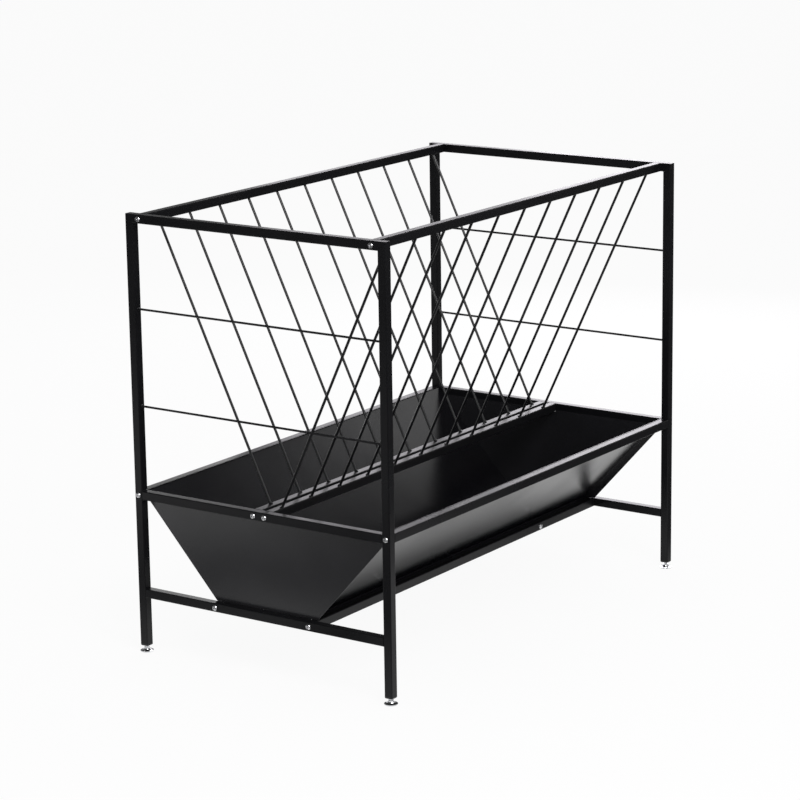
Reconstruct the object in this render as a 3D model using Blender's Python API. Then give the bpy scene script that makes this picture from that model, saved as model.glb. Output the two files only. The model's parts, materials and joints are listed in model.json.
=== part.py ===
"""Hay and grain feeder: a square-tube frame, a V-shaped wire rack, a sheet trough and levelling feet.

Metres, +Z up. The origin is on the floor below the middle of the feeder. The length runs along X
(near end at -X, far end at +X) and the width along Y (front at -Y, back at +Y).
"""
import math

import bmesh
import bpy
from mathutils import Matrix, Vector

# Overall sizes
LENGTH = 1.200
WIDTH = 0.690
HEIGHT = 1.000
GAP = 0.0003

# Square tube and round rod of the frame
TUBE = 0.020
TUBE_WALL = 0.0015
TUBE_CORNER = 0.002
MID_RAIL_TOP = 0.376
LOW_RAIL_TOP = 0.149
ROD_DIAMETER = 0.005
ROD_HEIGHTS = (0.569, 0.788)

# Wire rack
RACK_SETBACK = 0.006
BAR_SPACING = 0.030
WIRE_DIAMETER = 0.006
WIRE_COUNT = 11
WIRE_MARGIN = 0.0443
WIRE_SEAT = 0.004
WIRE_SHIFT = 0.0075

# Trough
BOTTOM_RAIL_SPACING = 0.255
SHEET = 0.0012
FLANGE_DROP = 0.018
PANEL_FOOT = 0.004
PANEL_LIP = 0.003
TRAY_BOLT_PLACES = (-0.308, 0.327)
PLATE_LAP = 0.004
END_STRIP = 0.020
STRIP_MARGIN = 0.010

# Bolts, nuts and bored end plates
BOLT_DIAMETER = 0.006
BOLT_CLEARANCE = 0.0003
HEAD_DIAMETER = 0.0125
HEAD_HEIGHT = 0.0042
HEAD_RIM = 0.0014
SOCKET_ACROSS_FLATS = 0.004
SOCKET_DEPTH = 0.0022
BOLT_TAIL = 0.002
END_PLATE = 0.004
NUT_ACROSS_FLATS = 0.010
NUT_HEIGHT = 0.005

# Levelling feet and the plugs that carry them
FOOT_REACH = 0.014
PLUG_FLANGE = 0.005
PLUG_DEPTH = 0.019
PLUG_ROUNDING = 0.0025
PAD_DIAMETER = 0.030
PAD_HEIGHT = 0.0065
PAD_RIM = 0.0025
PAD_NECK = 0.013
POCKET_DIAMETER = 0.0068
POCKET_DEPTH = 0.004
STUD_DIAMETER = 0.008
STUD_NECK = 0.006
STUD_LENGTH = 0.042
COLLAR_ACROSS_FLATS = 0.011
COLLAR_HEIGHT = 0.0028
RUNNING_GAP = 0.0003

# Facets of round shapes
ROUND_SIDES = 24
WIRE_SIDES = 12
PAD_SIDES = 48
CORNER_STEPS = 3
SMOOTH_ANGLE = math.radians(35)

# Places worked out from the sizes above
INNER_X = LENGTH / 2 - TUBE
POST_X = LENGTH / 2 - TUBE / 2
POST_Y = WIDTH / 2 - TUBE / 2
TOP_RAIL_Z = HEIGHT - TUBE / 2
MID_RAIL_Z = MID_RAIL_TOP - TUBE / 2
LOW_RAIL_Z = LOW_RAIL_TOP - TUBE / 2
RACK_TOP_Y = WIDTH / 2 - TUBE - RACK_SETBACK - TUBE / 2
BAR_Y = BAR_SPACING / 2
BOTTOM_RAIL_Y = BOTTOM_RAIL_SPACING / 2
MEMBER_END = INNER_X - GAP
MITRE_STEP = GAP / math.sqrt(2)
PLATE_INNER = MEMBER_END - SHEET
SHEET_END = PLATE_INNER - GAP
ENDS = (("near", -1), ("far", 1))
SIDES = (("front", -1), ("back", 1))


def make_material(name, colour, metallic, roughness):
    material = bpy.data.materials.new(name)
    material.use_nodes = True
    shader = material.node_tree.nodes["Principled BSDF"]
    shader.inputs["Base Color"].default_value = (*colour, 1)
    shader.inputs["Metallic"].default_value = metallic
    shader.inputs["Roughness"].default_value = roughness
    return material


def make_materials():
    return {
        "frame": make_material("frame_black", (0.012, 0.012, 0.014), 0, 0.38),
        "wire": make_material("wire_black", (0.014, 0.014, 0.016), 0, 0.42),
        "trough": make_material("trough_black", (0.016, 0.016, 0.018), 0, 0.30),
        "zinc": make_material("zinc_steel", (0.72, 0.72, 0.74), 1, 0.28),
        "chrome": make_material("chrome", (0.80, 0.81, 0.83), 1, 0.10),
        "plastic": make_material("plug_plastic", (0.020, 0.020, 0.021), 0, 0.50),
    }


def clear_scene():
    for item in list(bpy.data.objects):
        bpy.data.objects.remove(item)


def add_piece(name, shape, material, parent=None):
    """Turn a bmesh into a named object with outward faces and smooth round sides."""
    bmesh.ops.recalc_face_normals(shape, faces=shape.faces)
    mesh = bpy.data.meshes.new(name)
    shape.to_mesh(mesh)
    shape.free()
    mesh.shade_smooth()
    mesh.set_sharp_from_angle(angle=SMOOTH_ANGLE)
    return add_copy(name, mesh, material, parent)


def add_copy(name, mesh, material, parent=None):
    """Place a mesh as a named object. Copies share their mesh, which takes its material once."""
    if material and not mesh.materials:
        mesh.materials.append(material)
    piece = bpy.data.objects.new(name, mesh)
    bpy.context.collection.objects.link(piece)
    piece.parent = parent
    return piece


def change_shape(piece, operation, tool):
    """Cut a tool from a piece, or join it on, and keep the result as the piece's mesh."""
    step = piece.modifiers.new("shape", "BOOLEAN")
    step.operation = operation
    step.object = tool
    graph = bpy.context.evaluated_depsgraph_get()
    mesh = bpy.data.meshes.new_from_object(piece.evaluated_get(graph))
    piece.modifiers.clear()
    piece.data = mesh
    bpy.data.objects.remove(tool)


def bridge(shape, first, second):
    """Join two closed rings of the same number of corners."""
    count = len(first)
    for index in range(count):
        following = (index + 1) % count
        shape.faces.new((first[index], first[following], second[following], second[index]))


def ring_of(shape, points):
    return [shape.verts.new(point) for point in points]


def circle(radius, sides, start_share=0):
    """A circle's points. The first is turned by a share of the step between two points."""
    turns = [math.tau * (index + start_share) / sides for index in range(sides)]
    return [(radius * math.cos(turn), radius * math.sin(turn)) for turn in turns]


def hexagon(across_flats, sides):
    """A hexagon's outline, given as many points as the circles that it joins."""
    points = []
    sector = math.tau / 6
    for index in range(sides):
        turn = math.tau * index / sides
        radius = across_flats / 2 / math.cos(turn % sector - sector / 2)
        points.append((radius * math.cos(turn), radius * math.sin(turn)))
    return points


def rounded_square(half, corner):
    points = []
    centre = half - corner
    for quarter in range(4):
        middle_turn = math.tau * (quarter + 1 / 2) / 4
        across = math.copysign(centre, math.cos(middle_turn))
        up = math.copysign(centre, math.sin(middle_turn))
        for step in range(CORNER_STEPS + 1):
            turn = math.tau * (quarter + step / CORNER_STEPS) / 4
            points.append((across + corner * math.cos(turn), up + corner * math.sin(turn)))
    return points


def stack_rings(shape, rings, place):
    """Build a closed body from rings, each a list of points and a height, capped at both ends."""
    built = [ring_of(shape, [place @ Vector((x, y, height)) for x, y in points]) for points, height in rings]
    for lower, upper in zip(built, built[1:]):
        bridge(shape, lower, upper)
    shape.faces.new(built[0])
    shape.faces.new(built[-1])


def on_plane(point, run, origin, normal):
    """Slide a point along a run until it lies on a plane."""
    return point + run * ((origin - point).dot(normal) / run.dot(normal))


def frame_across(run):
    """Two directions square to a run, and to each other."""
    side = Vector((0, 0, 1)) if run.z == 0 else Vector((1, 0, 0))
    side = (side - run * side.dot(run)).normalized()
    return side, run.cross(side)


def tube(name, start, end, material, start_face=None, end_face=None, holes=()):
    """A hollow square tube between two points, cut square or along the given end planes."""
    run = (end - start).normalized()
    side, across = frame_across(run)
    shape = bmesh.new()
    rings = []
    for half, corner in ((TUBE / 2, TUBE_CORNER), (TUBE / 2 - TUBE_WALL, TUBE_CORNER - TUBE_WALL)):
        for point, face in ((start, start_face or run), (end, end_face or run)):
            corners = [point + side * x + across * y for x, y in rounded_square(half, corner)]
            rings.append(ring_of(shape, [on_plane(spot, run, point, face) for spot in corners]))
    outer_start, outer_end, inner_start, inner_end = rings
    bridge(shape, outer_start, outer_end)
    bridge(shape, inner_start, inner_end)
    bridge(shape, outer_start, inner_start)
    bridge(shape, outer_end, inner_end)
    piece = add_piece(name, shape, material)
    drill(piece, holes)
    return piece


def plated_tube(name, start, end, material):
    """A square tube with a plate welded into each end, each plate bored for a bolt."""
    run = (end - start).normalized()
    side, across = frame_across(run)
    outer = rounded_square(TUBE / 2, TUBE_CORNER)
    inner = rounded_square(TUBE / 2 - TUBE_WALL, TUBE_CORNER - TUBE_WALL)
    bore = circle(BOLT_DIAMETER / 2 + BOLT_CLEARANCE, len(outer), start_share=1 / 2)
    depth = run * END_PLATE
    stages = (
        (start, outer), (start, bore), (start + depth, bore), (start + depth, inner),
        (end - depth, inner), (end - depth, bore), (end, bore), (end, outer),
    )
    shape = bmesh.new()
    rings = []
    for point, outline in stages:
        rings.append(ring_of(shape, [point + side * x + across * y for x, y in outline]))
    for first, second in zip(rings, rings[1:] + rings[:1]):
        bridge(shape, first, second)
    return add_piece(name, shape, material)


def drill(piece, holes):
    """Bore a bolt hole through a piece at each place, along X or Y."""
    if not holes:
        return
    shape = bmesh.new()
    radius = BOLT_DIAMETER / 2 + BOLT_CLEARANCE
    for place, run in holes:
        matrix = Matrix.Translation(place) @ turn_to(run)
        rings = [(circle(radius, ROUND_SIDES), height) for height in (-TUBE, TUBE)]
        stack_rings(shape, rings, matrix)
    cutter = add_piece("hole_cutter", shape, None)
    change_shape(piece, "DIFFERENCE", cutter)


def turn_to(run):
    """The rotation that points local +Z along a run."""
    return run.to_track_quat("Z", "Y").to_matrix().to_4x4()


def rod_body(shape, start, end, diameter, start_face, end_face):
    """A round bar between two points, cut along the given planes."""
    run = (end - start).normalized()
    side, across = frame_across(run)
    rings = []
    for point, face in ((start, start_face), (end, end_face)):
        spots = [point + side * x + across * y for x, y in circle(diameter / 2, WIRE_SIDES)]
        rings.append(ring_of(shape, [on_plane(spot, run, point, face) for spot in spots]))
    bridge(shape, *rings)
    for ring in rings:
        shape.faces.new(ring)


def bolt_mesh(name, shank):
    """A round-headed bolt with a hexagon socket: its head seat is at the origin, its head towards +Z."""
    shoulder_share = 0.80
    crown_share = 0.55
    head = HEAD_DIAMETER / 2
    rings = [
        (circle(BOLT_DIAMETER / 2, ROUND_SIDES), -shank),
        (circle(BOLT_DIAMETER / 2, ROUND_SIDES), 0),
        (circle(head, ROUND_SIDES), 0),
        (circle(head, ROUND_SIDES), HEAD_RIM),
        (circle(head * shoulder_share, ROUND_SIDES), (HEAD_RIM + 2 * HEAD_HEIGHT) / 3),
        (circle(head * crown_share, ROUND_SIDES), HEAD_HEIGHT),
        (hexagon(SOCKET_ACROSS_FLATS, ROUND_SIDES), HEAD_HEIGHT),
        (hexagon(SOCKET_ACROSS_FLATS, ROUND_SIDES), HEAD_HEIGHT - SOCKET_DEPTH),
    ]
    shape = bmesh.new()
    stack_rings(shape, rings, Matrix.Identity(4))
    return mesh_of(name, shape)


def place_bolt(name, mesh, material, seat, facing):
    """Set one bolt on its seat, with its head facing outwards."""
    bolt = add_copy(name, mesh, material)
    bolt.matrix_world = Matrix.Translation(seat + facing * GAP) @ turn_to(facing)


def add_end_frames(materials):
    for end, toward in ENDS:
        add_end_frame(end, toward, materials)


def add_end_frame(end, toward, materials):
    """Two posts, three rails and two thin rods, welded into one flat ladder."""
    frame = materials["frame"]
    x = toward * POST_X
    along = Vector((1, 0, 0))
    tube_foot = FOOT_REACH + PLUG_FLANGE + GAP
    for side, out in SIDES:
        mitre = Vector((0, out, -1)).normalized()
        post_top = Vector((x, out * POST_Y, TOP_RAIL_Z - MITRE_STEP))
        holes = [(Vector((x, out * POST_Y, MID_RAIL_Z)), along)]
        foot = Vector((x, out * POST_Y, tube_foot))
        tube(f"{end}_{side}_post", foot, post_top, frame, end_face=mitre, holes=holes)
    front, back = (Vector((x, out * (POST_Y - MITRE_STEP), TOP_RAIL_Z)) for _, out in SIDES)
    front_mitre, back_mitre = (Vector((0, out, -1)).normalized() for _, out in SIDES)
    holes = [(Vector((x, out * RACK_TOP_Y, TOP_RAIL_Z)), along) for _, out in SIDES]
    tube(f"{end}_top_rail", front, back, frame, front_mitre, back_mitre, holes)
    reach = POST_Y - TUBE / 2 - GAP
    for rail, height, bolt_y in (("mid", MID_RAIL_Z, BAR_Y), ("low", LOW_RAIL_Z, BOTTOM_RAIL_Y)):
        holes = [(Vector((x, out * bolt_y, height)), along) for _, out in SIDES]
        start, finish = (Vector((x, out * reach, height)) for _, out in SIDES)
        tube(f"{end}_{rail}_rail", start, finish, frame, holes=holes)
    for rod, height in zip(("lower", "upper"), ROD_HEIGHTS):
        shape = bmesh.new()
        across = Vector((0, 1, 0))
        start, finish = (Vector((x, out * reach, height)) for _, out in SIDES)
        rod_body(shape, start, finish, ROD_DIAMETER, across, across)
        add_piece(f"{end}_{rod}_rod", shape, materials["wire"])


def long_member(name, y, z, material):
    return plated_tube(name, Vector((-MEMBER_END, y, z)), Vector((MEMBER_END, y, z)), material)


def add_long_members(materials):
    """The rails that run between the two end frames, one of each at the front and back."""
    frame = materials["frame"]
    across = Vector((0, 1, 0))
    for side, out in SIDES:
        long_member(f"{side}_rack_rail", out * RACK_TOP_Y, TOP_RAIL_Z, frame)
        long_member(f"{side}_mid_rail", out * POST_Y, MID_RAIL_Z, frame)
        y = out * BOTTOM_RAIL_Y
        rail = long_member(f"{side}_bottom_rail", y, LOW_RAIL_Z, frame)
        drill(rail, [(Vector((x, y, LOW_RAIL_Z)), across) for x in TRAY_BOLT_PLACES])


def add_grilles(materials):
    """Two like combs, one turned end for end: a bar with straight wires that slant out to a top rail."""
    up = Vector((0, 0, 1))
    first = INNER_X - WIRE_MARGIN
    pitch = 2 * first / (WIRE_COUNT - 1)
    foot_y = BAR_Y + TUBE / 2 - WIRE_SEAT
    for side, out in SIDES:
        comb = long_member(f"{side}_rack_grille", out * BAR_Y, MID_RAIL_Z, materials["wire"])
        wires = bmesh.new()
        for index in range(WIRE_COUNT):
            x = pitch * index - first + out * WIRE_SHIFT
            top = Vector((x, out * RACK_TOP_Y, HEIGHT - TUBE - GAP))
            foot = Vector((x, out * foot_y, MID_RAIL_TOP - TUBE_WALL / 2))
            rod_body(wires, foot, top, WIRE_DIAMETER, up, up)
        change_shape(comb, "UNION", add_piece("wires", wires, None))


def offset_line(points, distance):
    """Shift an open line of points to its left, with mitred corners."""
    normals = []
    for start, end in zip(points, points[1:]):
        run = (end - start).normalized()
        normals.append(Vector((-run.y, run.x)))
    shifted = [points[0] + normals[0] * distance]
    for point, before, after in zip(points[1:], normals, normals[1:]):
        middle = (before + after).normalized()
        shifted.append(point + middle * (distance / middle.dot(before)))
    shifted.append(points[-1] + normals[-1] * distance)
    return shifted


def folded_sheet(name, line, material):
    """Folded sheet metal: a line in the YZ plane, thick to its left, carried along the trough."""
    shape = bmesh.new()
    sections = []
    for x in (-SHEET_END, SHEET_END):
        faces = [offset_line(line, distance) for distance in (0, SHEET)]
        sections.append([ring_of(shape, [(x, *point) for point in face]) for face in faces])
    bridge(shape, *(lower + upper[::-1] for lower, upper in sections))
    for lower, upper in sections:
        for index in range(len(line) - 1):
            shape.faces.new((lower[index], lower[index + 1], upper[index + 1], upper[index]))
    return add_piece(name, shape, material)


def mirrored(points):
    """The same points on the other side of the middle, in the opposite order."""
    return [Vector((-point.x, point.y)) for point in reversed(points)]


def panel_line():
    """The back side panel's outer face: a foot beside the bottom rail, the slope, a lip on the mid rail."""
    foot_y = BOTTOM_RAIL_Y - TUBE / 2 - GAP
    lip_y = POST_Y - TUBE / 2 - GAP
    return [
        Vector((foot_y, LOW_RAIL_TOP - FLANGE_DROP)),
        Vector((foot_y, LOW_RAIL_TOP + PANEL_FOOT)),
        Vector((lip_y, MID_RAIL_TOP - PANEL_LIP)),
        Vector((lip_y, MID_RAIL_TOP)),
    ]


def add_trough_sides(materials):
    for side, out in SIDES:
        line = panel_line() if out > 0 else mirrored(panel_line())
        panel = folded_sheet(f"{side}_trough_panel", line, materials["trough"])
        drill(panel, tray_bolt_holes(out))


def tray_bolt_holes(out):
    y = out * (BOTTOM_RAIL_Y - TUBE / 2)
    return [(Vector((x, y, LOW_RAIL_Z)), Vector((0, 1, 0))) for x in TRAY_BOLT_PLACES]


def add_tray(materials):
    """The trough's floor, with flanges folded down inside the side panels' feet and nuts on them."""
    inner_y = BOTTOM_RAIL_Y - TUBE / 2 - 2 * GAP - 2 * SHEET
    half = [Vector((inner_y, LOW_RAIL_TOP - SHEET)), Vector((inner_y, LOW_RAIL_TOP - FLANGE_DROP))]
    tray = folded_sheet("trough_tray", mirrored(half) + half, materials["trough"])
    for _, out in SIDES:
        for x in TRAY_BOLT_PLACES:
            seat = Vector((x, out * (inner_y + SHEET / 2), LOW_RAIL_Z))
            change_shape(tray, "UNION", weld_nut(seat, Vector((0, -out, 0))))
        drill(tray, tray_bolt_holes(out))


def weld_nut(seat, facing):
    """A hexagon nut's body. Its bore is drilled together with what it is welded to."""
    shape = bmesh.new()
    place = Matrix.Translation(seat) @ turn_to(facing)
    outline = hexagon(NUT_ACROSS_FLATS, 6)
    stack_rings(shape, [(outline, 0), (outline, SHEET / 2 + NUT_HEIGHT)], place)
    return add_piece("nut", shape, None)


def prism(points, start, end):
    """A polygon in the YZ plane, carried along X."""
    shape = bmesh.new()
    rings = [ring_of(shape, [(x, *point) for point in points]) for x in (start, end)]
    bridge(shape, *rings)
    for ring in rings:
        shape.faces.new(ring)
    return shape


def end_plate_outline(low, high):
    """A plate between two end rails, which laps over both and keeps clear of the long members."""
    foot_y = BOTTOM_RAIL_Y - TUBE / 2 - GAP
    head_y = POST_Y - TUBE / 2 - GAP
    notch_y = BAR_Y + TUBE / 2 + GAP
    half = [
        Vector((foot_y, low - PLATE_LAP)),
        Vector((foot_y, low)),
        Vector((BOTTOM_RAIL_Y + TUBE / 2, low)),
        Vector((head_y, high)),
        Vector((head_y, high + PLATE_LAP)),
        Vector((notch_y, high + PLATE_LAP)),
        Vector((notch_y, high)),
    ]
    return half + mirrored(half)


def add_trough_ends(materials):
    """Upright end plates, wider than the trough, each with two strips that the side panels lie on."""
    plate_top = MID_RAIL_TOP - TUBE - GAP
    outline = end_plate_outline(LOW_RAIL_TOP + GAP, plate_top)
    _, foot, top, _ = panel_line()
    slope = (top - foot).normalized()
    outward = Vector((slope.y, -slope.x))
    start = foot + slope * (STRIP_MARGIN / slope.y) + outward * GAP
    finish = foot + slope * ((plate_top - STRIP_MARGIN - foot.y) / slope.y) + outward * GAP
    strip = [start, finish, finish + outward * SHEET, start + outward * SHEET]
    for end, toward in ENDS:
        shape = prism(outline, toward * PLATE_INNER, toward * MEMBER_END)
        plate = add_piece(f"trough_{end}_end_panel", shape, materials["trough"])
        ends = (toward * (MEMBER_END - END_STRIP), toward * (PLATE_INNER + SHEET / 2))
        for points in (strip, mirrored(strip)):
            change_shape(plate, "UNION", add_piece("strip", prism(points, *ends), None))


def add_bolts(materials):
    """Bolts through the end frames into the long members, and through the bottom rails into the tray."""
    zinc = materials["zinc"]
    shank = TUBE + 2 * GAP + END_PLATE + BOLT_TAIL
    long_bolt = bolt_mesh("frame_bolt", shank)
    groups = (
        ("rack_rail", RACK_TOP_Y, TOP_RAIL_Z),
        ("rack_bar", BAR_Y, MID_RAIL_Z),
        ("mid_rail", POST_Y, MID_RAIL_Z),
        ("bottom_rail", BOTTOM_RAIL_Y, LOW_RAIL_Z),
    )
    for group, y, z in groups:
        for end, toward in ENDS:
            for side, out in SIDES:
                seat = Vector((toward * LENGTH / 2, out * y, z))
                place_bolt(f"{end}_{side}_{group}_bolt", long_bolt, zinc, seat, Vector((toward, 0, 0)))
    tray_shank = TUBE + 3 * GAP + 2 * SHEET + NUT_HEIGHT + BOLT_TAIL
    tray_bolt = bolt_mesh("tray_bolt", tray_shank)
    for (end, _), x in zip(ENDS, TRAY_BOLT_PLACES):
        for side, out in SIDES:
            seat = Vector((x, out * (BOTTOM_RAIL_Y + TUBE / 2), LOW_RAIL_Z))
            place_bolt(f"{end}_{side}_tray_bolt", tray_bolt, zinc, seat, Vector((0, out, 0)))


def plug_mesh():
    """A plug for a post's lower end: a flange with rounded lower edges, a square body and a bore."""
    outer = TUBE / 2
    body = TUBE / 2 - TUBE_WALL - GAP
    lead = body - PLUG_ROUNDING / 2
    flange_top = FOOT_REACH + PLUG_FLANGE
    head = flange_top + PLUG_DEPTH
    rings = []
    for step in range(CORNER_STEPS + 1):
        turn = math.pi / 2 * step / CORNER_STEPS
        inset = PLUG_ROUNDING * (1 - math.sin(turn))
        height = FOOT_REACH + PLUG_ROUNDING * (1 - math.cos(turn))
        rings.append((rounded_square(outer - inset, TUBE_CORNER), height))
    rings += [
        (rounded_square(outer, TUBE_CORNER), flange_top),
        (rounded_square(body, TUBE_WALL), flange_top),
        (rounded_square(body, TUBE_WALL), head - PLUG_ROUNDING),
        (rounded_square(lead, TUBE_WALL), head),
    ]
    shape = bmesh.new()
    stack_rings(shape, rings, Matrix.Identity(4))
    piece = add_piece("plug", shape, None)
    bore = bmesh.new()
    radius = STUD_DIAMETER / 2 + RUNNING_GAP
    rings = [(circle(radius, ROUND_SIDES), height) for height in (0, head + TUBE)]
    stack_rings(bore, rings, Matrix.Identity(4))
    change_shape(piece, "DIFFERENCE", add_piece("bore", bore, None))
    mesh = piece.data
    bpy.data.objects.remove(piece)
    return mesh


def pad_mesh():
    """A pressed round pad with a low dome and a blind pocket in the middle for the stud's foot."""
    rim = PAD_DIAMETER / 2
    neck = PAD_NECK / 2
    chamfer = PAD_RIM / 3
    rings = [(circle(rim - chamfer, PAD_SIDES), 0), (circle(rim, PAD_SIDES), chamfer)]
    dome_steps = 3
    for step in range(dome_steps + 1):
        turn = math.pi / 2 * step / dome_steps
        radius = neck + (rim - neck) * (1 - math.sin(turn))
        rings.append((circle(radius, PAD_SIDES), PAD_HEIGHT - (PAD_HEIGHT - PAD_RIM) * math.cos(turn)))
    rings += [
        (circle(POCKET_DIAMETER / 2, PAD_SIDES), PAD_HEIGHT),
        (circle(POCKET_DIAMETER / 2, PAD_SIDES), PAD_HEIGHT - POCKET_DEPTH),
    ]
    shape = bmesh.new()
    stack_rings(shape, rings, Matrix.Identity(4))
    return mesh_of("foot_pad", shape)


def stud_mesh():
    """A threaded stud with a hexagon collar, turning on its foot in the pad's pocket."""
    foot = PAD_HEIGHT - POCKET_DEPTH + RUNNING_GAP
    collar = PAD_HEIGHT + RUNNING_GAP
    collar_top = collar + COLLAR_HEIGHT
    point = STUD_DIAMETER / 10
    thread = STUD_DIAMETER / 2
    rings = [
        (circle(STUD_NECK / 2, ROUND_SIDES), foot),
        (circle(STUD_NECK / 2, ROUND_SIDES), collar),
        (hexagon(COLLAR_ACROSS_FLATS, ROUND_SIDES), collar),
        (hexagon(COLLAR_ACROSS_FLATS, ROUND_SIDES), collar_top),
        (circle(thread, ROUND_SIDES), collar_top),
        (circle(thread, ROUND_SIDES), foot + STUD_LENGTH - point),
        (circle(thread - point, ROUND_SIDES), foot + STUD_LENGTH),
    ]
    shape = bmesh.new()
    stack_rings(shape, rings, Matrix.Identity(4))
    return mesh_of("foot_stud", shape)


def mesh_of(name, shape):
    """A mesh kept for copies, with outward faces and smooth round sides."""
    piece = add_piece(name, shape, None)
    mesh = piece.data
    bpy.data.objects.remove(piece)
    return mesh


def add_feet(materials):
    """A plug, a stud and a pad under each post. The empties stand on the studs' axes, on the floor."""
    meshes = (
        ("plug", plug_mesh(), materials["plastic"]),
        ("foot_stud", stud_mesh(), materials["chrome"]),
        ("foot_pad", pad_mesh(), materials["chrome"]),
    )
    for end, toward in ENDS:
        for side, out in SIDES:
            axis = bpy.data.objects.new(f"{end}_{side}_foot_axis", None)
            axis.location = (toward * POST_X, out * POST_Y, 0)
            bpy.context.collection.objects.link(axis)
            for name, mesh, material in meshes:
                add_copy(f"{end}_{side}_{name}", mesh, material, axis)


def build():
    clear_scene()
    materials = make_materials()
    add_end_frames(materials)
    add_long_members(materials)
    add_grilles(materials)
    add_trough_sides(materials)
    add_tray(materials)
    add_trough_ends(materials)
    add_bolts(materials)
    add_feet(materials)


build()
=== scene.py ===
"""Looks of the hay and grain feeder: powder coat, welds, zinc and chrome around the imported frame."""
import json
import math
import random

import bmesh
import bpy
from mathutils import Matrix, Vector


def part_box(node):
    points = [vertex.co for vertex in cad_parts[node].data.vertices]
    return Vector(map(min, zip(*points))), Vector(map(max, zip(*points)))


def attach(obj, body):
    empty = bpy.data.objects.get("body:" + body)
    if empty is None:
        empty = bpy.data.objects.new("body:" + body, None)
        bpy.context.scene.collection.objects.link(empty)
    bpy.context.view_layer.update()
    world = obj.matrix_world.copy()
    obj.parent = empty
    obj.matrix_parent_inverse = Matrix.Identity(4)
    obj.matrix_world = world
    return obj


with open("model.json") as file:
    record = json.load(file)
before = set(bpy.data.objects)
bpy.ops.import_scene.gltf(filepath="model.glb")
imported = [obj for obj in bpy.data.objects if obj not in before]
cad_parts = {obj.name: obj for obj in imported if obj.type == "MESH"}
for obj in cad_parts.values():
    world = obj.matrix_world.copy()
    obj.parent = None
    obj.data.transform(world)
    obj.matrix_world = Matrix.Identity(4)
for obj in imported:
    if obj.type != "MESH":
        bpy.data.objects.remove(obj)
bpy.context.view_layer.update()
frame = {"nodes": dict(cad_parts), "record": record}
nodes = frame["nodes"]

# The photograph's camera
LENS = 129.781
SENSOR_WIDTH = 36
CLIP_START, CLIP_END = 0.1, 100
CAMERA_PLACE = (-5.3432, -3.67707, 2.06756)
CAMERA_YAW = math.radians(-55.1683)
CAMERA_PITCH = math.radians(13.5684)
CAMERA_ROLL = math.radians(-0.8362)

# Sizes shared with the solids, in metres
WIRE_COUNT = 11
WIRE_REACH = 0.5357
WIRE_PITCH = 2 * WIRE_REACH / (WIRE_COUNT - 1)
WIRE_SHIFT = 0.0075
WIRE_SEAT = 0.004
BAR_OUTER_Y = 0.025
BAR_TOP_Z = 0.376

# Welds, in metres. A lump is given by its radius and by how far it stands out
FOOT_LUMP = (0.0050, 0.0030)
FOOT_LUMP_LEAN = 0.3
HEAD_LUMP = (0.0046, 0.0026)
ROD_LUMP = (0.0044, 0.0026)
FILLET_SIZE = 0.0024
FILLET_INSET = 0.0012
TACK_SIZE = 0.0022
TACK_REACH = 0.004
TACK_PLACES = (-0.119, 0.012)
BEAD_STEP = 0.0009
BEAD_RIPPLE = 0.0022
BEAD_TURNS = (0, 30, 60, 90)
SHARP_ANGLE = math.radians(40)

# The band that a noise texture mostly stays in
NOISE_BAND = (0.3, 0.7)

# The floor: its half width, its paper, and how much of it camera and gloss see as plain glow
FLOOR_HALF = 40
FLOOR_COLOUR = (0.86, 0.86, 0.87)
FLOOR_GLOW_SHARE = 0.93

# Painted pools of light on the floor, seen only in gloss: each patch's centre, radii, inner and outer edge
# in radii, and level
FLOOR_PAINTED_LIGHT_POOLS = (
    ((-0.10, 0.10), (1.05, 1.00), 0.60, 1.12, 0.80),
    ((1.20, -0.14), (0.90, 0.22), 0.60, 1.50, 1),
    ((0.10, -0.78), (0.70, 0.32), 0.30, 1.20, 0.85),
    ((-1.90, 1.40), (1, 1), 0.30, 1.20, 1),
    ((5.0, 4.0), (4.5, 4.5), 0.70, 1.05, 1),
)
# A painted shadow under the trough, seen only in gloss: its centre, radii, and inner and outer edge in
# radii
FLOOR_PAINTED_SHADOW = ((0, 0), (1.2, 0.120), 0.70, 1.08)
FLOOR_DIMMEST = 0.04

# The surround: what gloss mirrors of it from the horizon to straight up, and what lights the object
SKY_STOPS = ((0.0, 1.0), (0.04, 0.8), (0.12, 0.22), (0.40, 0.09), (1.0, 0.06))
SKY_LEVEL = 0.5

# Each lamp's name, place, target, width and height, power and colour
WHITE = (1, 1, 1)
VIOLET_TINT = (0.98, 0.95, 1.0)
LAMPS = (
    ("key", (-2.2, -2.6, 3.4), (0, 0, 0.5), (2.0, 2.0), 85, WHITE),
    ("front_strip", (-0.5, -3.9, 2.3), (0, 0, 0.5), (3.6, 0.8), 34, WHITE),
    ("back_panel", (3.30, 1.38, 1.30), (0, 0, BAR_TOP_Z), (2.6, 1.2), 20, VIOLET_TINT),
    ("back_panel_bright", (3.42, 1.15, 1.28), (0, 0, BAR_TOP_Z), (1.2, 1.2), 9, VIOLET_TINT),
    ("overhead_card", (3.3, -0.45, 2.2), (0.4, 0.25, 0.3), (0.9, 0.9), 2.8, WHITE),
    ("low_card", (0.15, 0.84, 0.46), (-0.59, 0.2, 0.149), (0.30, 0.16), 0.35, WHITE),
)


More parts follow.
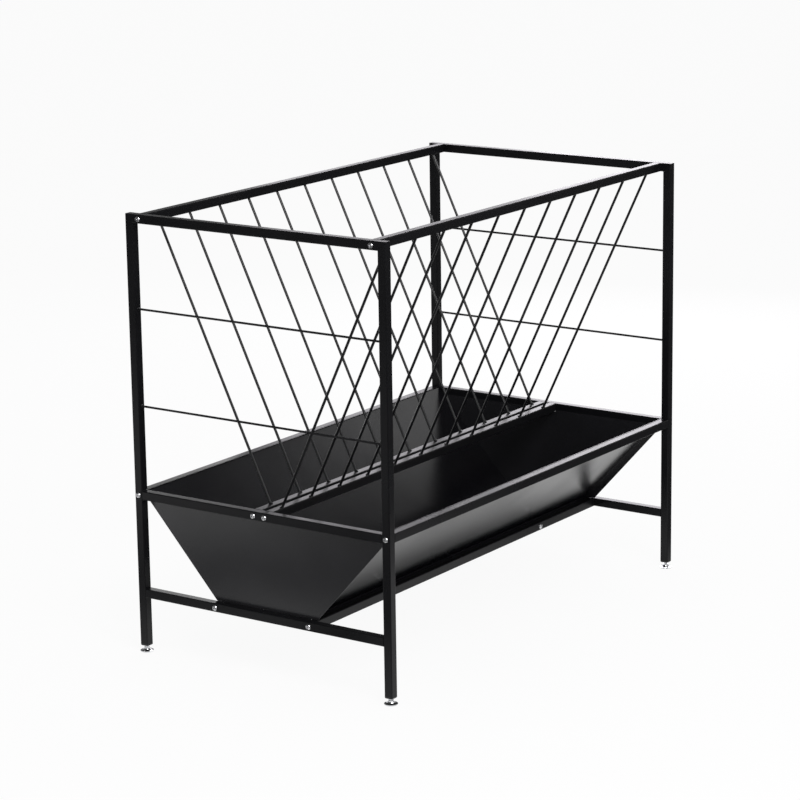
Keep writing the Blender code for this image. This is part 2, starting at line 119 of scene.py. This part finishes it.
def add_camera():
    """The photograph's viewing angle, with no shift and no depth of field."""
    data = bpy.data.cameras.new("camera")
    data.sensor_width = SENSOR_WIDTH
    data.lens = LENS
    data.clip_start = CLIP_START
    data.clip_end = CLIP_END
    camera = bpy.data.objects.new("camera", data)
    bpy.context.collection.objects.link(camera)
    back = Vector((
        math.sin(CAMERA_YAW) * math.cos(CAMERA_PITCH),
        -math.cos(CAMERA_YAW) * math.cos(CAMERA_PITCH),
        math.sin(CAMERA_PITCH),
    ))
    right = (-back).cross(Vector((0, 0, 1))).normalized()
    up = right.cross(-back)
    right, up = (
        right * math.cos(CAMERA_ROLL) + up * math.sin(CAMERA_ROLL),
        up * math.cos(CAMERA_ROLL) - right * math.sin(CAMERA_ROLL),
    )
    turn = Matrix((right, up, back)).transposed().to_4x4()
    camera.matrix_world = Matrix.Translation(CAMERA_PLACE) @ turn
    bpy.context.scene.camera = camera


def new_material(name):
    material = bpy.data.materials.new(name)
    material.use_nodes = True
    tree = material.node_tree
    return material, tree, tree.nodes["Principled BSDF"]


def add_node(tree, kind, **inputs):
    node = tree.nodes.new(kind)
    for name, value in inputs.items():
        node.inputs[name].default_value = value
    return node


def remap(tree, source, low, high, out_low, out_high):
    """Stretch a range of values onto another range."""
    node = tree.nodes.new("ShaderNodeMapRange")
    for name, value in (("From Min", low), ("From Max", high), ("To Min", out_low), ("To Max", out_high)):
        node.inputs[name].default_value = value
    tree.links.new(source, node.inputs["Value"])
    return node.outputs["Result"]


def object_place(tree):
    return tree.nodes.new("ShaderNodeTexCoord").outputs["Object"]


def noise(tree, place, scale, detail=2):
    node = add_node(tree, "ShaderNodeTexNoise", Scale=scale, Detail=detail)
    tree.links.new(place, node.inputs["Vector"])
    return node.outputs["Fac"]


def bump(tree, height, distance, strength):
    node = add_node(tree, "ShaderNodeBump", Distance=distance, Strength=strength)
    tree.links.new(height, node.inputs["Height"])
    return node.outputs["Normal"]


def tone_ramp(tree, source, band, first, second):
    """A colour that goes from one to another across a band of a texture."""
    ramp = tree.nodes.new("ShaderNodeValToRGB")
    for element, position, colour in zip(ramp.color_ramp.elements, band, (first, second)):
        element.position = position
        element.color = (*colour, 1)
    tree.links.new(source, ramp.inputs["Fac"])
    return ramp.outputs["Color"]


def scaled(colour, share):
    return tuple(channel * share for channel in colour)


def powder_coat(name, colour, roughness, orange_peel, specular=0.5):
    """Black powder coat: orange peel, uneven gloss and a faint shift of tone."""
    material, tree, shader = new_material(name)
    place = object_place(tree)
    tone = tone_ramp(tree, noise(tree, place, 9), NOISE_BAND, scaled(colour, 0.85), scaled(colour, 1.15))
    tree.links.new(tone, shader.inputs["Base Color"])
    gloss = remap(tree, noise(tree, place, 6, detail=3), *NOISE_BAND, roughness - 0.02, roughness + 0.03)
    tree.links.new(gloss, shader.inputs["Roughness"])
    peel = bump(tree, noise(tree, place, 420), 0.00005, orange_peel)
    tree.links.new(peel, shader.inputs["Normal"])
    shader.inputs["Specular IOR Level"].default_value = specular
    return material


def plated(name, colour, roughness):
    """Bright plating with faint brushing and small stains."""
    material, tree, shader = new_material(name)
    place = object_place(tree)
    stain = noise(tree, place, 160, detail=3)
    tone = tone_ramp(tree, stain, (0.25, 0.6), scaled(colour, 0.86), colour)
    tree.links.new(tone, shader.inputs["Base Color"])
    tree.links.new(remap(tree, stain, *NOISE_BAND, roughness + 0.05, roughness), shader.inputs["Roughness"])
    tree.links.new(bump(tree, noise(tree, place, 2200), 0.00001, 0.3), shader.inputs["Normal"])
    shader.inputs["Metallic"].default_value = 1
    return material


def moulded(name, colour, roughness):
    """Matt moulded plastic with a fine spark-eroded grain."""
    material, tree, shader = new_material(name)
    place = object_place(tree)
    grain = bump(tree, noise(tree, place, 2600, detail=3), 0.00004, 0.5)
    tree.links.new(grain, shader.inputs["Normal"])
    gloss = remap(tree, noise(tree, place, 90), *NOISE_BAND, roughness - 0.05, roughness + 0.05)
    tree.links.new(gloss, shader.inputs["Roughness"])
    shader.inputs["Base Color"].default_value = (*colour, 1)
    return material


def dress_nodes():
    """Give every carried-over node its finish, by the record's material slot. The end panels instead get a
    lighter, glossier copy of the trough coat, painted light that makes them show brighter.
    """
    finishes = {
        "frame": powder_coat("frame_powder_coat", (0.005, 0.005, 0.006), 0.28, 0.25, specular=0.25),
        "wire": powder_coat("wire_powder_coat", (0.006, 0.006, 0.007), 0.30, 0.20),
        "trough": powder_coat("trough_powder_coat", (0.0042, 0.0040, 0.0055), 0.21, 0.04),
        "bolt": plated("bright_zinc", (0.80, 0.80, 0.82), 0.22),
        "chrome": plated("bright_chrome", (0.82, 0.83, 0.85), 0.06),
        "plug": moulded("plug_plastic", (0.010, 0.010, 0.011), 0.48),
    }
    # Painted light: a lighter, glossier copy of the trough coat, so that the end plates show brighter than
    # the trough's sides
    painted_light_coat = powder_coat("end_plate_painted_light_coat", (0.012, 0.012, 0.014), 0.23, 0.04, specular=0.8)
    slots = {part["node"]: part["material_slot"] for part in frame["record"]["subparts"]}
    for name, node in nodes.items():
        node.data.materials.clear()
        node.data.materials.append(painted_light_coat if name.endswith("end_panel") else finishes[slots[name]])
    return finishes


def weld_blob(shape, centre, out, size, chance):
    """A small lumpy weld around a place, flattened along the direction in which it stands out."""
    radius, height = size
    lump = bmesh.ops.create_icosphere(shape, subdivisions=2, radius=1)["verts"]
    turn = Vector(out).to_track_quat("Z", "Y").to_matrix()
    ripples = chance.uniform(2.4, 3.6)
    phase = chance.uniform(0, math.tau)
    for vertex in lump:
        around = math.atan2(vertex.co.y, vertex.co.x)
        swell = 1 + 0.10 * math.sin(ripples * around + phase) + chance.uniform(-0.05, 0.05)
        reach = radius * swell
        spot = Vector((vertex.co.x * reach, vertex.co.y * reach, vertex.co.z * height))
        vertex.co = Vector(centre) + turn @ spot


def weld_line(shape, start, end, first, second, size, chance):
    """A scalloped fillet weld between two faces that meet along a line."""
    start, end, first, second = Vector(start), Vector(end), Vector(first), Vector(second)
    length = (end - start).length
    steps = max(8, round(length / BEAD_STEP))
    phase = chance.uniform(0, math.tau)
    rings = []
    for step in range(steps + 1):
        share = step / steps
        middle = start.lerp(end, share)
        ripple = 0.88 + 0.12 * abs(math.sin(phase + share * length / BEAD_RIPPLE * math.pi))
        taper = min(1, 0.35 + 3 * min(share, 1 - share))
        reach = size * ripple * taper
        ring = [middle - (first + second) * size * 0.12]
        for turn in BEAD_TURNS:
            angle = math.radians(turn)
            bulge = 1 - 0.16 * math.sin(2 * angle)
            ring.append(middle + (first * math.cos(angle) + second * math.sin(angle)) * reach * bulge)
        rings.append([shape.verts.new(point) for point in ring])
    for lower, upper in zip(rings, rings[1:]):
        for index in range(len(lower)):
            following = (index + 1) % len(lower)
            shape.faces.new((lower[index], lower[following], upper[following], upper[index]))
    shape.faces.new(rings[0])
    shape.faces.new(rings[-1])


def finish_piece(name, shape, material, body):
    """Turn a bmesh into a smooth named piece that rides on a body."""
    bmesh.ops.recalc_face_normals(shape, faces=shape.faces)
    mesh = bpy.data.meshes.new(name)
    shape.to_mesh(mesh)
    shape.free()
    mesh.shade_smooth()
    mesh.set_sharp_from_angle(angle=SHARP_ANGLE)
    mesh.materials.append(material)
    piece = bpy.data.objects.new(name, mesh)
    bpy.context.collection.objects.link(piece)
    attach(piece, body)


def wire_places(side):
    """The X places of a grille's wires: the two combs are alike, and one is turned end for end."""
    out = 1 if side == "back" else -1
    return [WIRE_PITCH * index - WIRE_REACH + out * WIRE_SHIFT for index in range(WIRE_COUNT)]


def add_wire_welds(material):
    """A lump at each wire's foot on its bar and at its head under the rack rail."""
    chance = random.Random(7)
    for side, out in (("front", -1), ("back", 1)):
        rail_low, rail_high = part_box(f"{side}_rack_rail")
        foot_y = out * (BAR_OUTER_Y - WIRE_SEAT)
        head_y = (rail_low[1] + rail_high[1]) / 2
        feet = bmesh.new()
        heads = bmesh.new()
        for x in wire_places(side):
            weld_blob(feet, (x, foot_y, BAR_TOP_Z), (0, FOOT_LUMP_LEAN * out, 1), FOOT_LUMP, chance)
            weld_blob(heads, (x, head_y, rail_low[2]), (0, 0, -1), HEAD_LUMP, chance)
        finish_piece(f"{side}_wire_foot_welds", feet, material, "feeder")
        finish_piece(f"{side}_wire_head_welds", heads, material, "feeder")


def add_frame_welds(material):
    """Fillets above and below each end rail at the posts, and a lump at each end of the thin rods."""
    chance = random.Random(11)
    for end in ("near", "far"):
        lines = bmesh.new()
        lumps = bmesh.new()
        for side, out in (("front", -1), ("back", 1)):
            post_low, post_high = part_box(f"{end}_{side}_post")
            face_y = post_high[1] if out < 0 else post_low[1]
            for rail in ("mid", "low"):
                low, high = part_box(f"{end}_{rail}_rail")
                for z, up in ((high[2], 1), (low[2], -1)):
                    start = (low[0] + FILLET_INSET, face_y, z)
                    finish = (high[0] - FILLET_INSET, face_y, z)
                    weld_line(lines, start, finish, (0, -out, 0), (0, 0, up), FILLET_SIZE, chance)
            for rod in ("lower", "upper"):
                low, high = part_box(f"{end}_{rod}_rod")
                middle = ((low[0] + high[0]) / 2, face_y, (low[2] + high[2]) / 2)
                weld_blob(lumps, middle, (0, -out, 0), ROD_LUMP, chance)
        finish_piece(f"{end}_frame_fillet_welds", lines, material, "feeder")
        finish_piece(f"{end}_rod_welds", lumps, material, "feeder")


def add_tack_welds(material):
    """Two short tacks at each end plate's foot, on the low rail's top."""
    chance = random.Random(3)
    shape = bmesh.new()
    for end, toward in (("near", -1), ("far", 1)):
        plate_low, plate_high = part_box(f"trough_{end}_end_panel")
        rail_low, rail_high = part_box(f"{end}_low_rail")
        face_x = plate_low[0] if toward < 0 else plate_high[0]
        for y in TACK_PLACES:
            start = (face_x, y - TACK_REACH, rail_high[2])
            finish = (face_x, y + TACK_REACH, rail_high[2])
            weld_line(shape, start, finish, (toward, 0, 0), (0, 0, 1), TACK_SIZE, chance)
    finish_piece("end_plate_tack_welds", shape, material, "feeder")


def blend_values(tree, share, first, second):
    """A number between two others, each a plain number or a socket."""
    node = tree.nodes.new("ShaderNodeMix")
    tree.links.new(share, node.inputs["Factor"])
    for socket, value in ((node.inputs["A"], first), (node.inputs["B"], second)):
        if isinstance(value, (int, float)):
            socket.default_value = value
        else:
            tree.links.new(value, socket)
    return node.outputs["Result"]


def combine(tree, operation, first, second):
    node = tree.nodes.new("ShaderNodeMath")
    node.operation = operation
    node.use_clamp = True
    tree.links.new(first, node.inputs[0])
    tree.links.new(second, node.inputs[1])
    return node.outputs["Value"]


def shifted(tree, operation, source, amount):
    """A place with an amount taken off it or divided out of it."""
    node = tree.nodes.new("ShaderNodeVectorMath")
    node.operation = operation
    node.inputs[1].default_value = amount
    tree.links.new(source, node.inputs[0])
    return node.outputs["Vector"]


def pool(tree, centre, radii, inside, outside):
    """A soft round patch on the floor: 1 inside, 0 outside, the distances as shares of its radii."""
    place = tree.nodes.new("ShaderNodeNewGeometry").outputs["Position"]
    from_centre = shifted(tree, "SUBTRACT", place, (*centre, 0))
    in_radii = shifted(tree, "DIVIDE", from_centre, (*radii, 1))
    length = tree.nodes.new("ShaderNodeVectorMath")
    length.operation = "LENGTH"
    tree.links.new(in_radii, length.inputs[0])
    patch = remap(tree, length.outputs["Value"], inside, outside, 1, 0)
    patch.node.interpolation_type = "SMOOTHSTEP"
    return patch


def painted_floor_light(tree):
    """How bright gloss mirrors each place of the floor: the brightest of the painted pools of light, less
    the painted shadow under the trough.
    """
    lit = None
    for centre, radii, inside, outside, level in FLOOR_PAINTED_LIGHT_POOLS:
        patch = remap(tree, pool(tree, centre, radii, inside, outside), 0, 1, 0, level)
        lit = patch if lit is None else combine(tree, "MAXIMUM", lit, patch)
    # Take the painted shadow under the trough off the painted pools of light
    painted_light_less_shadow = combine(tree, "SUBTRACT", lit, pool(tree, *FLOOR_PAINTED_SHADOW))
    return remap(tree, painted_light_less_shadow, 0, 1, FLOOR_DIMMEST, 1)


def add_floor():
    """A pale paper floor that keeps the shadow, mostly plain glow to the camera, and to gloss painted pools
    of light with a painted shadow under the trough.
    """
    mesh = bpy.data.meshes.new("floor")
    corners = [(x * FLOOR_HALF, y * FLOOR_HALF, 0) for x, y in ((-1, -1), (1, -1), (1, 1), (-1, 1))]
    mesh.from_pydata(corners, [], [(0, 1, 2, 3)])
    floor = bpy.data.objects.new("floor", mesh)
    bpy.context.collection.objects.link(floor)
    material, tree, shader = new_material("floor_paper")
    shader.inputs["Base Color"].default_value = (*FLOOR_COLOUR, 1)
    shader.inputs["Roughness"].default_value = 0.9
    shader.inputs["Specular IOR Level"].default_value = 0
    rays = tree.nodes.new("ShaderNodeLightPath").outputs
    glow = add_node(tree, "ShaderNodeEmission", Color=(*WHITE, 1))
    # Gloss sees the painted pools of light and the painted shadow; the camera sees plain glow
    strength = blend_values(tree, rays["Is Camera Ray"], painted_floor_light(tree), 1)
    tree.links.new(strength, glow.inputs["Strength"])
    seen = combine(tree, "MAXIMUM", rays["Is Camera Ray"], rays["Is Glossy Ray"])
    mix = tree.nodes.new("ShaderNodeMixShader")
    tree.links.new(remap(tree, seen, 0, 1, 0, FLOOR_GLOW_SHARE), mix.inputs["Fac"])
    tree.links.new(shader.outputs["BSDF"], mix.inputs[1])
    tree.links.new(glow.outputs["Emission"], mix.inputs[2])
    tree.links.new(mix.outputs["Shader"], tree.nodes["Material Output"].inputs["Surface"])
    mesh.materials.append(material)


def add_surround():
    """A white backdrop. Gloss mirrors it white near the horizon and dim overhead."""
    world = bpy.data.worlds.new("surround")
    bpy.context.scene.world = world
    world.use_nodes = True
    tree = world.node_tree
    background = tree.nodes["Background"]
    background.inputs["Color"].default_value = (*WHITE, 1)
    split = tree.nodes.new("ShaderNodeSeparateXYZ")
    tree.links.new(tree.nodes.new("ShaderNodeTexCoord").outputs["Generated"], split.inputs["Vector"])
    ramp = tree.nodes.new("ShaderNodeValToRGB")
    tree.links.new(split.outputs["Z"], ramp.inputs["Fac"])
    while len(ramp.color_ramp.elements) < len(SKY_STOPS):
        ramp.color_ramp.elements.new(0.5)
    for element, (position, level) in zip(ramp.color_ramp.elements, SKY_STOPS):
        element.position = position
        element.color = (level, level, level, 1)
    rays = tree.nodes.new("ShaderNodeLightPath").outputs
    lit = blend_values(tree, rays["Is Glossy Ray"], SKY_LEVEL, ramp.outputs["Color"])
    tree.links.new(blend_values(tree, rays["Is Camera Ray"], lit, 1), background.inputs["Strength"])


def add_lamp(name, place, target, size, power, colour):
    data = bpy.data.lights.new(name, "AREA")
    data.shape = "RECTANGLE"
    data.size, data.size_y = size
    data.energy = power
    data.color = colour
    lamp = bpy.data.objects.new(name, data)
    bpy.context.collection.objects.link(lamp)
    lamp.location = place
    lamp.rotation_euler = (Vector(target) - Vector(place)).to_track_quat("-Z", "Y").to_euler()
    lamp.visible_camera = False


def add_lights():
    """A key and a strip from the front, two panels behind the far end and two small cards to mirror."""
    for lamp in LAMPS:
        add_lamp(*lamp)


bpy.context.scene.view_settings.view_transform = "Standard"
add_camera()
add_floor()
add_surround()
add_lights()
finishes = dress_nodes()
add_wire_welds(finishes["wire"])
add_frame_welds(finishes["frame"])
add_tack_welds(finishes["trough"])
